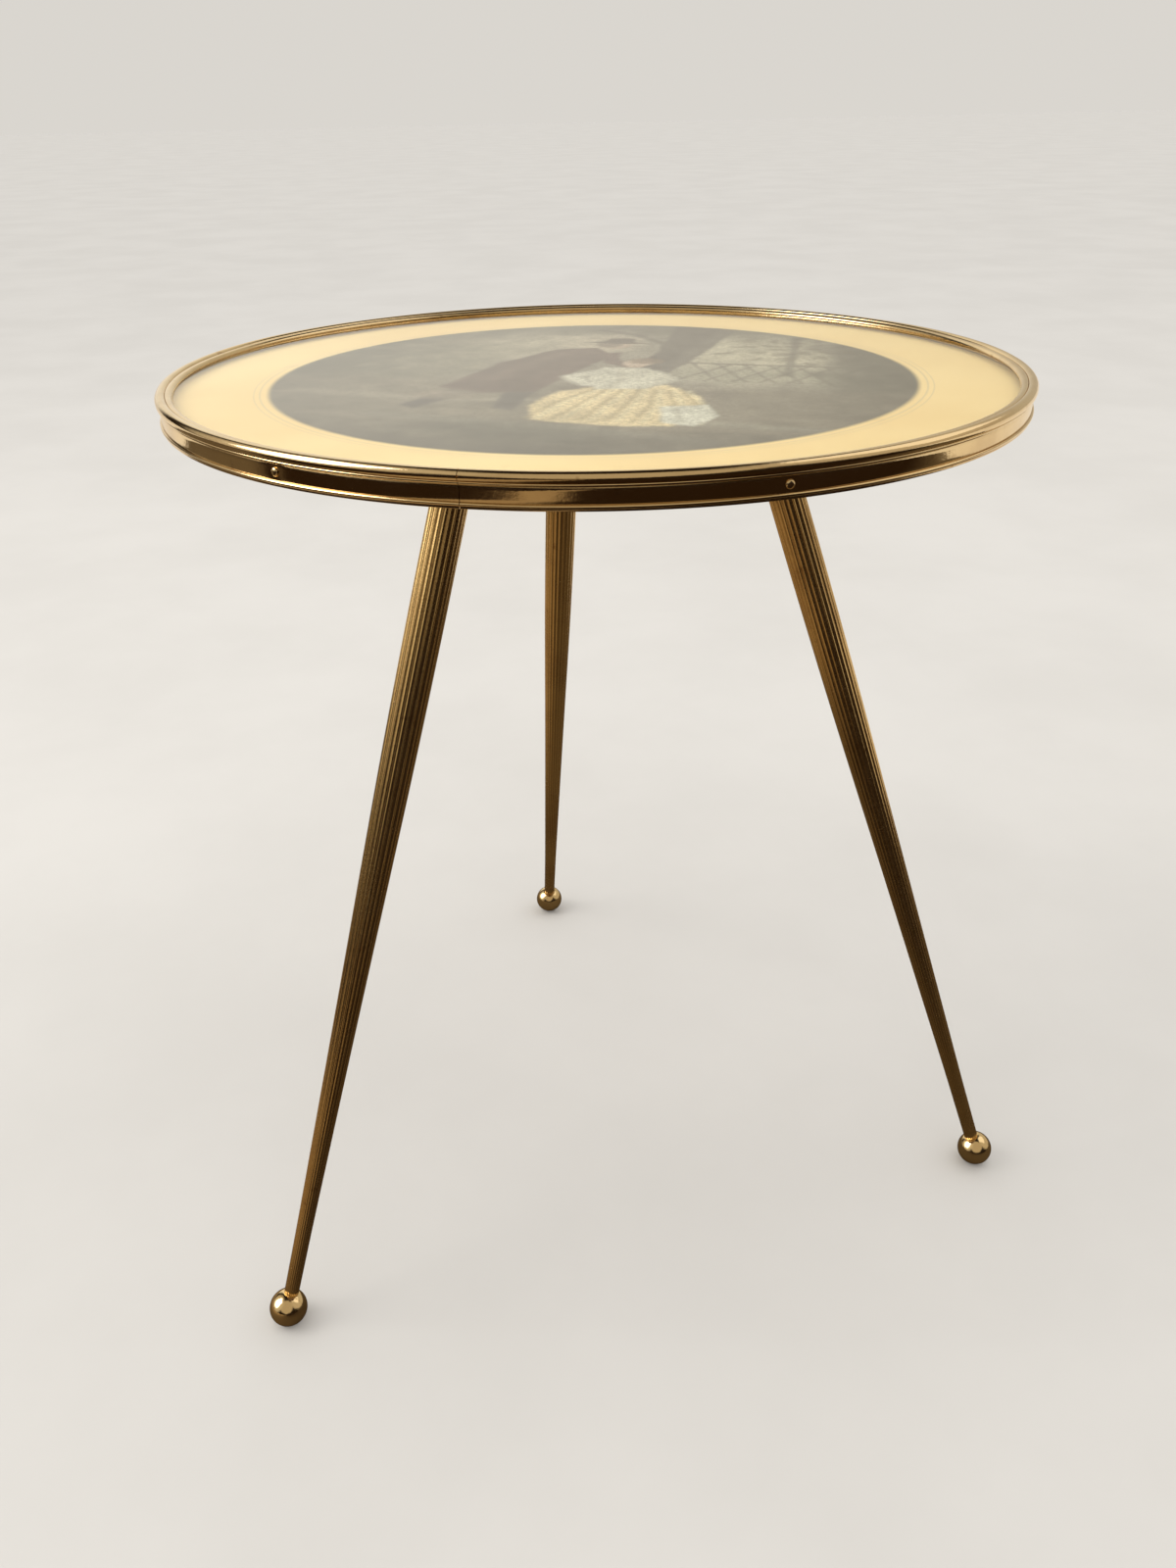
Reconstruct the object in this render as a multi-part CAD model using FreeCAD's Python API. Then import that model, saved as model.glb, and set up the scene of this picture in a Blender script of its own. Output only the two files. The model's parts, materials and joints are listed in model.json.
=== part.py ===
"""Small round tripod table: a picture under glass in a brass rim, on three splayed fluted brass legs.

Millimetres, +Z up. The origin is on the floor, under the middle of the top. One leg points roughly along +Y.
The legs are alike, but their plates hold them at slightly different angles, as on a table assembled by hand.
Each leg is made upright, with its foot ball's centre at the origin, and then leaned out and turned into place.
"""

import FreeCAD, Part
import math
import os

V = FreeCAD.Vector
UP = V(0, 0, 1)
ORIGIN = V(0, 0, 0)

# Whole table
TABLE_HEIGHT = 470.0
RIM_OUTER_R = 209.0
# The legs' axes are set out from two levels: the foot balls' centres, and a level just under the top
SETTING_OUT_Z = 454.0
# One leg a row: (azimuth in degrees, radius) at the foot ball's centre, and the same at the level under the top
LEG_STANDS = (
    ((86.7, 235.9), (87.9, 82.2)),
    ((211.3, 242.9), (210.2, 83.3)),
    ((332.5, 234.2), (333.1, 81.7)),
)

# Rim: one drawn brass profile bent to a ring, with a lip over the glass
RIM_HEIGHT = 14.4
LIP_R = 201.0
RIM_WALL_R = 205.3
RIM_EDGE_R = 207.5
BAND_R = 207.3
BAND_HEIGHT = 6.4
BEAD_R = 0.8
BEAD_PROUD = 0.9
BOTTOM_BEAD_R = 0.7
BOTTOM_BEAD_RISE = 1.7
ROLL_R = 2.6
ROLL_LOW_TURN = math.radians(25)
GROOVE_R = 204.4
GLASS_RECESS = 2.8
LIP_EDGE_DROP = 2.1
JOINT_AZIMUTH = -117.5
JOINT_GAP = 0.3

# Pins through the rim's flat band
PIN_AZIMUTHS = (36.0, 98.0, 160.0, 219.8, 276.2, 336.0)
PIN_HEAD_R = 1.8
PIN_HEAD_RISE = 0.85
PIN_SHANK_R = 0.8
PIN_BLUNT_R = 0.2
PIN_LENGTH = 11.0
FIT_GAP = 0.05

# Top
GLASS_R = 204.9
GLASS_THICKNESS = 3.0
GLASS_ARRIS = 0.4
GLASS_BEVEL_WIDTH = 4.1
GLASS_BEVEL_DEPTH = 0.4
PRINT_R = 204.7
PRINT_THICKNESS = 0.3
BOARD_R = 205.1
BOARD_THICKNESS = 8.0
BOARD_ARRIS = 0.6

# Legs
BALL_R = 10.0
BALL_SEAT = 9.0
FLUTES = 24
FLUTE_DEPTH_SHARE = 0.045
TUBE_WALL = 1.1
# (share of the tube's length below its top, diameter over the ridges)
TUBE_TAPER = (
    (0.0, 18.0),
    (0.2, 18.2),
    (0.35, 17.0),
    (0.45, 15.5),
    (0.55, 13.8),
    (0.65, 12.2),
    (0.8, 10.0),
    (0.9, 8.6),
    (1.0, 7.8),
)

# Leg fixings
STUD_R = 4.0
STUD_ABOVE_LEG = 11.5
STUD_IN_LEG = 12.5
TOP_PLUG_LENGTH = 14.0
WASHER_R = 9.6
WASHER_HOLE_R = 4.3
WASHER_THICKNESS = 1.4
BOTTOM_PLUG_LENGTH = 14.0
FOOT_STUD_R = 2.0
FOOT_STUD_IN_BALL = 7.5
FOOT_STUD_IN_LEG = 12.0
CHAMFER = 0.5

# Plates
PLATE_R = 29.0
PLATE_THICKNESS = 2.5
BOSS_R = 11.0
BOSS_LEAST_HEIGHT = 1.2
SCREW_CIRCLE_R = 22.0
SCREWS_PER_PLATE = 3
SCREW_R = 1.75
SCREW_HEAD_R = 3.5
SCREW_LENGTH = 9.0
RECESS_WIDTH = 0.9
RECESS_SPAN = 4.2
RECESS_DEPTH = 1.3

# Heights and places that follow from the sizes above
RIM_BASE_Z = TABLE_HEIGHT - RIM_HEIGHT
GLASS_TOP_Z = TABLE_HEIGHT - GLASS_RECESS
GLASS_BASE_Z = GLASS_TOP_Z - GLASS_THICKNESS
BOARD_TOP_Z = GLASS_BASE_Z - PRINT_THICKNESS
BOARD_BASE_Z = BOARD_TOP_Z - BOARD_THICKNESS
PLATE_BASE_Z = BOARD_BASE_Z - PLATE_THICKNESS
PIN_Z = RIM_BASE_Z + BOTTOM_BEAD_RISE + BOTTOM_BEAD_R + BAND_HEIGHT / 2


def polar(azimuth, radius, height):
    """The point at an azimuth in degrees, a distance from the table's axis, and a height."""
    turn = math.radians(azimuth)
    return V(radius * math.cos(turn), radius * math.sin(turn), height)


class Leg:
    """Where one leg stands, how it leans, and where its axis meets its plate's lower face."""

    def __init__(self, foot, top):
        self.foot = polar(*foot, BALL_R)
        self.axis = (polar(*top, SETTING_OUT_Z) - self.foot).normalize()
        self.lean = math.acos(self.axis.z)
        self.plate_crossing = (PLATE_BASE_Z - BALL_R) / self.axis.z
        self.plate_centre = self.foot + self.axis * self.plate_crossing
        self.plate_azimuth = math.degrees(math.atan2(self.plate_centre.y, self.plate_centre.x))

    def place(self, shape):
        """A copy of a shape made upright on the foot ball's centre, leaned into this leg's place."""
        copy = shape.copy()
        copy.Placement = FreeCAD.Placement(self.foot, FreeCAD.Rotation(UP, self.axis)).multiply(copy.Placement)
        return copy


LEGS = [Leg(*stand) for stand in LEG_STANDS]

# Heights along a leg's own axis, above its foot ball's centre
BOSS_FACE = min(leg.plate_crossing - BOSS_R * math.tan(leg.lean) for leg in LEGS) - BOSS_LEAST_HEIGHT
WASHER_BASE = BOSS_FACE - FIT_GAP - WASHER_THICKNESS
TUBE_TOP = WASHER_BASE - FIT_GAP
TUBE_LENGTH = TUBE_TOP - BALL_SEAT


def disc(radius, thickness, base_z, arris):
    """A flat round sheet with both its edges chamfered."""
    blank = Part.makeCylinder(radius, thickness, V(0, 0, base_z))
    rims = [edge for edge in blank.Edges if isinstance(edge.Curve, Part.Circle)]
    return blank.makeChamfer(arris, rims)


def rod(radius, low, high, chamfer=CHAMFER):
    """A round rod along Z with both its ends chamfered."""
    blank = Part.makeCylinder(radius, high - low, V(0, 0, low))
    ends = [edge for edge in blank.Edges if isinstance(edge.Curve, Part.Circle)]
    return blank.makeChamfer(chamfer, ends)


def ring_of(angle_first, count):
    """Evenly spaced azimuths in degrees."""
    return [angle_first + 360.0 * i / count for i in range(count)]


def turned(shape, azimuth):
    """A copy of a shape made along +X, turned about the table's axis."""
    copy = shape.copy()
    copy.rotate(ORIGIN, UP, azimuth)
    return copy


def arc(start, middle, end):
    return Part.Arc(start, middle, end).toShape()


def line(start, end):
    return Part.makeLine(start, end)


def rim_profile():
    """The rim's section in the XZ plane: flat band between two beads, outer roll, groove, and lip over the glass."""
    base = RIM_BASE_Z
    low_bead = base + BOTTOM_BEAD_RISE
    band_low = low_bead + BOTTOM_BEAD_R
    band_high = band_low + BAND_HEIGHT
    high_bead = band_high + BEAD_R
    neck = high_bead + BEAD_R
    roll_x = RIM_OUTER_R - ROLL_R
    roll_z = TABLE_HEIGHT - ROLL_R
    groove_z = roll_z + math.sqrt(ROLL_R**2 - (roll_x - GROOVE_R) ** 2)
    lip_z = TABLE_HEIGHT - LIP_EDGE_DROP
    lip_base = GLASS_TOP_Z + FIT_GAP
    p = {
        "wall_low": V(RIM_WALL_R, 0, base),
        "edge_low": V(RIM_EDGE_R, 0, base),
        "edge_top": V(RIM_EDGE_R, 0, low_bead - BOTTOM_BEAD_R),
        "low_bead": V(BAND_R + BEAD_PROUD, 0, low_bead),
        "band_low": V(BAND_R, 0, band_low),
        "band_high": V(BAND_R, 0, band_high),
        "high_bead": V(BAND_R + BEAD_PROUD, 0, high_bead),
        "neck": V(BAND_R, 0, neck),
        "roll_low": V(roll_x + ROLL_R * math.cos(ROLL_LOW_TURN), 0, roll_z - ROLL_R * math.sin(ROLL_LOW_TURN)),
        "roll_crown": V(roll_x, 0, TABLE_HEIGHT),
        "groove": V(GROOVE_R, 0, groove_z),
        "lip_crown": V((GROOVE_R + LIP_R) / 2, 0, groove_z + 0.1),
        "lip_edge": V(LIP_R, 0, lip_z),
        "lip_low": V(LIP_R, 0, lip_base),
        "wall_top": V(RIM_WALL_R, 0, lip_base),
    }
    edges = [
        line(p["wall_low"], p["edge_low"]),
        line(p["edge_low"], p["edge_top"]),
        arc(p["edge_top"], p["low_bead"], p["band_low"]),
        line(p["band_low"], p["band_high"]),
        arc(p["band_high"], p["high_bead"], p["neck"]),
        line(p["neck"], p["roll_low"]),
        arc(p["roll_low"], p["roll_crown"], p["groove"]),
        arc(p["groove"], p["lip_crown"], p["lip_edge"]),
        line(p["lip_edge"], p["lip_low"]),
        line(p["lip_low"], p["wall_top"]),
        line(p["wall_top"], p["wall_low"]),
    ]
    return Part.Face(Part.Wire(edges))


def brass_rim():
    """The bent profile, open at its butt joint, with a drilled hole for each pin."""
    gap = math.degrees(JOINT_GAP / RIM_OUTER_R)
    strip = rim_profile().revolve(ORIGIN, UP, 360.0 - gap)
    rim = turned(strip, JOINT_AZIMUTH + gap / 2)
    return rim.cut(Part.Compound(pin_holes()))


def pin_holes():
    """Clearance for the pins' shanks, through the rim and into the board."""
    start = V(BAND_R + BEAD_PROUD - PIN_LENGTH, 0, PIN_Z)
    hole = Part.makeCylinder(PIN_SHANK_R + FIT_GAP, PIN_LENGTH + BEAD_PROUD, start, V(1, 0, 0))
    return [turned(hole, azimuth) for azimuth in PIN_AZIMUTHS]


def rim_pin():
    """A round-headed pin along +X: a low dome, slightly flat in the middle, on a shank with a blunt point."""
    head_base = BAND_R + FIT_GAP
    head_top = head_base + PIN_HEAD_RISE
    tip = head_base - PIN_LENGTH + 1.0
    shank_end = tip + 3 * PIN_SHANK_R
    dome = arc(
        V(head_base, 0, PIN_HEAD_R),
        V(head_base + 0.72 * PIN_HEAD_RISE, 0, 0.6 * PIN_HEAD_R),
        V(head_top, 0, PIN_BLUNT_R),
    )
    corners = [V(head_top, 0, PIN_BLUNT_R), V(head_top, 0, 0), V(tip, 0, 0), V(tip, 0, PIN_BLUNT_R)]
    corners += [V(shank_end, 0, PIN_SHANK_R), V(head_base, 0, PIN_SHANK_R), V(head_base, 0, PIN_HEAD_R)]
    sides = [line(start, end) for start, end in zip(corners, corners[1:])]
    pin = Part.Face(Part.Wire([dome] + sides)).revolve(ORIGIN, V(1, 0, 0), 360)
    pin.translate(V(0, 0, PIN_Z))
    return pin


def rim_pins():
    return Part.Compound([turned(rim_pin(), azimuth) for azimuth in PIN_AZIMUTHS])


def glass_top():
    """A round sheet, its top edge bevelled where it lies under the rim's lip."""
    section = Part.makePolygon([
        V(0, 0, GLASS_BASE_Z),
        V(GLASS_R - GLASS_ARRIS, 0, GLASS_BASE_Z),
        V(GLASS_R, 0, GLASS_BASE_Z + GLASS_ARRIS),
        V(GLASS_R, 0, GLASS_TOP_Z - GLASS_BEVEL_DEPTH),
        V(GLASS_R - GLASS_BEVEL_WIDTH, 0, GLASS_TOP_Z),
        V(0, 0, GLASS_TOP_Z),
        V(0, 0, GLASS_BASE_Z),
    ])
    return Part.Face(section).revolve(ORIGIN, UP, 360)


def picture_print():
    return Part.makeCylinder(PRINT_R, PRINT_THICKNESS, V(0, 0, BOARD_TOP_Z))


def screw_places(leg):
    """A plate's screws, on a circle about its centre, as points on the plate's lower face."""
    turns = ring_of(leg.plate_azimuth, SCREWS_PER_PLATE)
    return [leg.plate_centre + polar(turn, SCREW_CIRCLE_R, 0) for turn in turns]


def moved(shape, place):
    """A copy of a shape made at the origin, moved to a point."""
    copy = shape.copy()
    copy.translate(place)
    return copy


def top_board():
    """The round board, with clearance pockets for the leg studs and holes for the pins and screws."""
    board = disc(BOARD_R, BOARD_THICKNESS, BOARD_BASE_Z, BOARD_ARRIS)
    stud_tip = TUBE_TOP + STUD_ABOVE_LEG
    pocket = Part.makeCylinder(STUD_R + 1.0, 30.0, V(0, 0, stud_tip + 1.0 - 30.0))
    pilot = Part.makeCylinder(SCREW_R + FIT_GAP, SCREW_LENGTH + 2 * FIT_GAP)
    cuts = pin_holes()
    for leg in LEGS:
        cuts.append(leg.place(pocket))
        cuts.extend(moved(pilot, place) for place in screw_places(leg))
    return board.cut(Part.Compound(cuts))


def countersink(clearance):
    """The cone of a countersunk head, opening downwards, with its face at z = 0."""
    depth = SCREW_HEAD_R - SCREW_R
    return Part.makeCone(SCREW_HEAD_R + clearance, SCREW_R + clearance, depth)


def plate_screw():
    """A countersunk wood screw pointing up, with a cross recess in its face at z = 0."""
    head = countersink(0.0)
    point = 2 * SCREW_R
    shank = Part.makeCylinder(SCREW_R, SCREW_LENGTH - point)
    tip = Part.makeCone(SCREW_R, 0.0, point, V(0, 0, SCREW_LENGTH - point))
    screw = head.fuse([shank, tip])
    for size in ((RECESS_SPAN, RECESS_WIDTH), (RECESS_WIDTH, RECESS_SPAN)):
        slot = Part.makeBox(size[0], size[1], RECESS_DEPTH, V(-size[0] / 2, -size[1] / 2, 0))
        screw = screw.cut(slot)
    return screw.removeSplitter()


def plate_screws():
    screw = plate_screw()
    return Part.Compound([moved(screw, place) for leg in LEGS for place in screw_places(leg)])


def leg_plate(leg):
    """A round steel plate with a boss square to the leg, tapped for its stud."""
    plate = Part.makeCylinder(PLATE_R, PLATE_THICKNESS, leg.plate_centre)
    lower_rim = [edge for edge in plate.Edges if edge.BoundBox.ZMax < PLATE_BASE_Z + 0.1]
    plate = plate.makeChamfer(CHAMFER, lower_rim)
    reach = leg.plate_crossing + BOSS_R - BOSS_FACE
    boss = leg.place(Part.makeCylinder(BOSS_R, reach, V(0, 0, BOSS_FACE)))
    trim = Part.makeCylinder(RIM_OUTER_R, reach, V(0, 0, PLATE_BASE_Z + PLATE_THICKNESS / 2))
    body = plate.fuse(boss.cut(trim))
    cuts = [leg.place(Part.makeCylinder(STUD_R + FIT_GAP, 2 * reach, V(0, 0, BOSS_FACE - reach / 2)))]
    hole = Part.makeCylinder(SCREW_R + FIT_GAP, PLATE_THICKNESS).fuse(countersink(FIT_GAP))
    cuts.extend(moved(hole, place) for place in screw_places(leg))
    return body.cut(Part.Compound(cuts)).removeSplitter()


def tube_radius(height):
    """The tube's radius over its ridges at a height above the foot ball's centre."""
    share = (TUBE_TOP - height) / TUBE_LENGTH
    for (low, low_d), (high, high_d) in zip(TUBE_TAPER, TUBE_TAPER[1:]):
        if share <= high:
            return (low_d + (high_d - low_d) * (share - low) / (high - low)) / 2
    return TUBE_TAPER[-1][1] / 2


def fluted_wire(height, radius):
    """A closed outline of shallow concave flutes that meet at ridges on the given radius."""
    valley = radius * (1 - FLUTE_DEPTH_SHARE)
    step = 2 * math.pi / FLUTES

    def at(angle, reach):
        return V(reach * math.cos(angle), reach * math.sin(angle), height)

    arcs = [arc(at(i * step, radius), at((i + 0.5) * step, valley), at((i + 1) * step, radius)) for i in range(FLUTES)]
    return Part.Wire(arcs)


def ridge_wire(height, radius):
    """A closed polygon with one corner under each ridge."""
    corners = [polar(turn, radius, height) for turn in ring_of(0.0, FLUTES)]
    return Part.makePolygon(corners + corners[:1])


def tube_bore():
    """The tube's inside, flat under each flute: straight at the top for its plug, then tapering with the outside."""
    stations = [(TUBE_TOP + 1, TUBE_TAPER[0][1]), (TUBE_TOP - TOP_PLUG_LENGTH - 4.0, TUBE_TAPER[0][1])]
    stations += [(TUBE_TOP - share * TUBE_LENGTH, diameter) for share, diameter in TUBE_TAPER[1:]]
    stations.append((BALL_SEAT - 1, TUBE_TAPER[-1][1]))
    wires = [ridge_wire(height, diameter / 2 - TUBE_WALL) for height, diameter in stations]
    return Part.makeLoft(wires, True, True)


def leg_tube():
    wires = [fluted_wire(TUBE_TOP - share * TUBE_LENGTH, diameter / 2) for share, diameter in TUBE_TAPER]
    return Part.makeLoft(wires, True, True).cut(tube_bore())


def plug_radius(height):
    """The radius of a round plug that just clears the bore's flats at a height."""
    return (tube_radius(height) - TUBE_WALL) * math.cos(math.pi / FLUTES) - FIT_GAP


def leg_top_plug():
    """A turned plug flush with the tube's top, bored through for the leg stud."""
    plug = rod(plug_radius(TUBE_TOP), TUBE_TOP - TOP_PLUG_LENGTH, TUBE_TOP, 0.3)
    bore = Part.makeCylinder(STUD_R + FIT_GAP / 2, TOP_PLUG_LENGTH + 2, V(0, 0, TUBE_TOP - TOP_PLUG_LENGTH - 1))
    return plug.cut(bore)


def leg_stud():
    return rod(STUD_R, TUBE_TOP - STUD_IN_LEG, TUBE_TOP + STUD_ABOVE_LEG)


def leg_washer():
    hole = Part.makeCylinder(WASHER_HOLE_R, WASHER_THICKNESS, V(0, 0, WASHER_BASE))
    return rod(WASHER_R, WASHER_BASE, WASHER_BASE + WASHER_THICKNESS, 0.25).cut(hole)


def leg_bottom_plug():
    """A plug that closes the tube's narrow end, tapped for the foot stud."""
    plug = rod(plug_radius(BALL_SEAT), BALL_SEAT, BALL_SEAT + BOTTOM_PLUG_LENGTH, 0.3)
    bore = Part.makeCylinder(FOOT_STUD_R + FIT_GAP / 2, BOTTOM_PLUG_LENGTH + 2, V(0, 0, BALL_SEAT - 1))
    return plug.cut(bore)


def foot_stud():
    return rod(FOOT_STUD_R, BALL_SEAT - FOOT_STUD_IN_BALL, BALL_SEAT + FOOT_STUD_IN_LEG, 0.3)


def foot_ball():
    """A turned ball with a flat seat for the tube and a blind tapped hole."""
    ball = Part.makeSphere(BALL_R)
    cap = Part.makeCylinder(BALL_R, BALL_R, V(0, 0, BALL_SEAT))
    depth = FOOT_STUD_IN_BALL + 1.0
    bore = Part.makeCylinder(FOOT_STUD_R + FIT_GAP / 2, depth, V(0, 0, BALL_SEAT - depth))
    return ball.cut(cap).cut(bore)


def build():
    """Every node's name and its shape."""
    nodes = {
        "glass_top": glass_top(),
        "picture_print": picture_print(),
        "top_board": top_board(),
        "brass_rim": brass_rim(),
        "rim_pins": rim_pins(),
        "plate_screws": plate_screws(),
    }
    leg_pieces = {
        "leg_washer": leg_washer(),
        "leg_tube": leg_tube(),
        "leg_top_plug": leg_top_plug(),
        "leg_stud": leg_stud(),
        "leg_bottom_plug": leg_bottom_plug(),
        "foot_stud": foot_stud(),
        "foot_ball": foot_ball(),
    }
    for number, leg in enumerate(LEGS, start=1):
        nodes[f"leg_plate_{number}"] = leg_plate(leg)
        for name, piece in leg_pieces.items():
            nodes[f"{name}_{number}"] = leg.place(piece)
    return nodes


os.makedirs("parts", exist_ok=True)
for node, shape in build().items():
    print(f"{node:20s} valid {shape.isValid()} solids {len(shape.Solids)} volume {shape.Volume:.1f}")
    shape.exportStep(f"parts/{node}.step")
for leg in LEGS:
    foot = ", ".join(f"{value:.3f}" for value in leg.foot)
    axis = ", ".join(f"{value:.6f}" for value in leg.axis)
    print(f"leg on ({foot}) along ({axis}) leans {math.degrees(leg.lean):.2f} degrees")
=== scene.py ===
"""The round tripod table's looks: aged brass, a printed picture under glass, and plain studio surroundings.

Metres, +Z up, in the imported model's frame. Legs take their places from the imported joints.
"""

import json
import math

import bmesh
import bpy
import numpy as np
from mathutils import Matrix, Vector


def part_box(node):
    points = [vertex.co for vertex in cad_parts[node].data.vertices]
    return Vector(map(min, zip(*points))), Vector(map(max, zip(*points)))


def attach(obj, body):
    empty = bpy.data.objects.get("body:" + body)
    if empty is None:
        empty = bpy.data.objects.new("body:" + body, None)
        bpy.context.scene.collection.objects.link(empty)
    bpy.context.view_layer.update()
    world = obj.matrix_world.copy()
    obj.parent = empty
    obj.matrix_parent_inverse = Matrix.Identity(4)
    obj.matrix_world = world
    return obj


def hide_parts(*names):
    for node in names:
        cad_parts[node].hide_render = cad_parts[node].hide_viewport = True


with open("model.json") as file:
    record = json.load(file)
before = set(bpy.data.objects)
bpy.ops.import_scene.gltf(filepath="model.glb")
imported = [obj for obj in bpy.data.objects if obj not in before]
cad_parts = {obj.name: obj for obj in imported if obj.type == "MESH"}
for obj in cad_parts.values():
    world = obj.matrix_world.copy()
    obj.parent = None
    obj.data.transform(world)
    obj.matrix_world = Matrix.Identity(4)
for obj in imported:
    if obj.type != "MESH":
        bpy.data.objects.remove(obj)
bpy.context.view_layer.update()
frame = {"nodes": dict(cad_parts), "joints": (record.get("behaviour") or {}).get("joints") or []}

MM = 0.001
PICTURE_TURN = math.radians(-14.0)
LEG_NUMBERS = (1, 2, 3)

# Camera: right of the table's axis, out from it and above the floor, then its heading, tilt and roll
CAMERA_ASIDE = 0.0038
CAMERA_DISTANCE = 0.6688
CAMERA_HEIGHT = 0.5885
CAMERA_YAW = math.radians(-0.925)
CAMERA_PITCH = math.radians(27.753)
CAMERA_ROLL = math.radians(-0.991)
CAMERA_LENS = 30.2
SENSOR = 36.0

# Rim: how far inside its widest circle each part of its section lies, and the sizes of its parts
RIM_SEGMENTS = 900
EDGE_INSET = 1.5 * MM
BAND_INSET = 1.7 * MM
WALL_INSET = 3.7 * MM
GROOVE_INSET = 4.6 * MM
LIP_INSET = 8.0 * MM
LIP_EDGE_DROP = 2.1 * MM
LIP_GAP = 0.05 * MM
ROLL_R = 2.6 * MM
BEAD_R = 0.8 * MM
BEAD_PROUD = 0.9 * MM
LOW_BEAD_R = 0.7 * MM
LOW_BEAD_RISE = 1.7 * MM
BAND_HEIGHT = 6.4 * MM
CREASE = 0.2 * MM
GROOVE_DEPTH = 0.45 * MM
FOOT_CORNER_R = 0.18 * MM
BEAD_TURN = 75
ROLL_LOW_TURN = -25
GROOVE_LEAD = 3
LIP_BOW_SHARE = 0.7
LIP_BOW_RISE = 0.6 * MM
JOINT_AZIMUTH = math.radians(-117.5)
JOINT_GAP = 0.3 * MM
BAND_WAVE = 0.05 * MM
PIN_DENT = 0.22 * MM
PIN_DENT_WIDTH = 4.0 * MM
MOVE_FADE = 1.0 * MM
ON_BAND = 0.01 * MM
PIN_AZIMUTHS = [math.radians(azimuth) for azimuth in (36.0, 98.0, 160.0, 219.8, 276.2, 336.0)]
PIN_HEAD_R = 1.8 * MM
PIN_HEAD_RISE = 0.85 * MM
PIN_HEAD_EDGE = 0.08 * MM
PIN_DOME_TRIM = 0.1 * MM
PIN_SHANK_R = 0.8 * MM
PIN_LENGTH = 10.0 * MM
PIN_POINT = 2.0 * MM

# Legs
FLUTES = 24
FLUTE_STEPS = 10
FLUTE_DEPTH_SHARE = 0.045
FLUTE_FLATNESS = 2.4
RIDGE_SOFTENING = 0.10
TUBE_LIP = 0.25 * MM
TUBE_STATIONS = 150
TUBE_WALL = 1.1 * MM
TUBE_TAPER = (
    (0.0, 18.0),
    (0.2, 18.2),
    (0.35, 17.0),
    (0.45, 15.5),
    (0.55, 13.8),
    (0.65, 12.2),
    (0.8, 10.0),
    (0.9, 8.6),
    (1.0, 7.8),
)
BALL_R = 10.0 * MM
BALL_SEAT = 9.0 * MM
SEAT_BREAK_TURN = 1.5
SEAT_BREAK = 0.12 * MM
FOOT_STUD_R = 2.05 * MM
BALL_BORE_DEPTH = 8.5 * MM
STUD_R = 4.0 * MM
STUD_SIDES = 48
THREAD_PITCH = 1.25 * MM
THREAD_DEPTH = 0.7 * MM
THREAD_STEPS = 10
THREAD_RUNOUT = 1.2 * MM
CREST_GAIN = 1.35
CREST_CUT = 0.1

# Glass and print
GLASS_ARRIS = 0.4 * MM
GLASS_BEVEL = 4.1 * MM
GLASS_UNDER_RING = 4.0 * MM
PRINT_CELLS = 420
PRINT_GAP = 0.04 * MM
OVAL_CENTRE = (-0.001, 0.0)
OVAL_X = 0.1575
OVAL_Y = 0.1600
PRINT_LEAN = math.radians(-13.0)
SITTER_ASIDE = 0.05
RULED_LINES = ((1.022, 0.004), (1.040, 0.0025))

# Painted noise: its lattice, where it is read from, and each finer layer's share of the one before
NOISE_CELLS = 64
NOISE_SHIFT = (31.7, 17.3)
OCTAVE_SHARE = 0.55

# Surroundings. The wall and the darker floors, with a painted shadow near the camera and a painted sheen at
# the left, are seen by polished metal only.
FLOOR_HALF = 30.0
WALL_AZIMUTH = math.radians(-16.0)
WALL_DISTANCE = 0.67
WALL_BLUR = 0.06
PALE_FLOORS = ((0.56, 0.55, 0.53, 1), (0.53, 0.52, 0.50, 1))
NEAR_FLOOR_PAINTED_SHADOW = (0.014, 0.007, 0.003, 1)
GREY_FLOOR = (0.085, 0.062, 0.036, 1)
LEFT_FLOOR_PAINTED_SHEEN = (0.24, 0.17, 0.095, 1)
WALL_FOOT = (0.60, 0.54, 0.45, 1)
DARK_ROOM = (0.016, 0.009, 0.004, 1)
WALL_SHADED = (0.50, 0.44, 0.34, 1)
WALL_DAYLIT = (0.92, 0.86, 0.75, 1)
TAN_CEILING = (0.44, 0.36, 0.25, 1)
LAMP_GLOW = (0.50, 0.42, 0.31, 1)
WINDOW_GLOW = (0.56, 0.48, 0.36, 1)
WINDOW = (3.8, 3.6, 3.3, 1)
ROOM_LIGHT = (1.30, 1.27, 1.23, 1)
BACKDROP = (0.700, 0.672, 0.626, 1)
LIGHT_TARGET = Vector((0, 0, 0.3))


def mesh_piece(name, vertices, faces, material, body, node=None):
    """A smooth-shaded mesh that rides on a body and stands for a CAD node."""
    data = bpy.data.meshes.new(name)
    data.from_pydata([tuple(v) for v in vertices], [], [tuple(f) for f in faces])
    data.validate()
    data.polygons.foreach_set("use_smooth", [True] * len(data.polygons))
    data.materials.append(material)
    piece = bpy.data.objects.new(name, data)
    bpy.context.scene.collection.objects.link(piece)
    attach(piece, body)
    if node:
        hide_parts(node)
    return piece


def keep_edges_sharp(piece, degrees):
    """Edges that turn by more than an angle stay crisp under smooth shading."""
    piece.data.set_sharp_from_angle(angle=math.radians(degrees))


def set_attribute(piece, name, values):
    """Stores one number per vertex for the material to read."""
    layer = piece.data.attributes.new(name, "FLOAT", "POINT")
    layer.data.foreach_set("value", np.asarray(values, np.float32))


def arc_points(centre, radius, start, end, count):
    """Points on a circular arc in the section plane, angles in degrees."""
    angles = np.radians(np.linspace(start, end, count))
    return [(centre[0] + radius * math.cos(a), centre[1] + radius * math.sin(a)) for a in angles]


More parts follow.
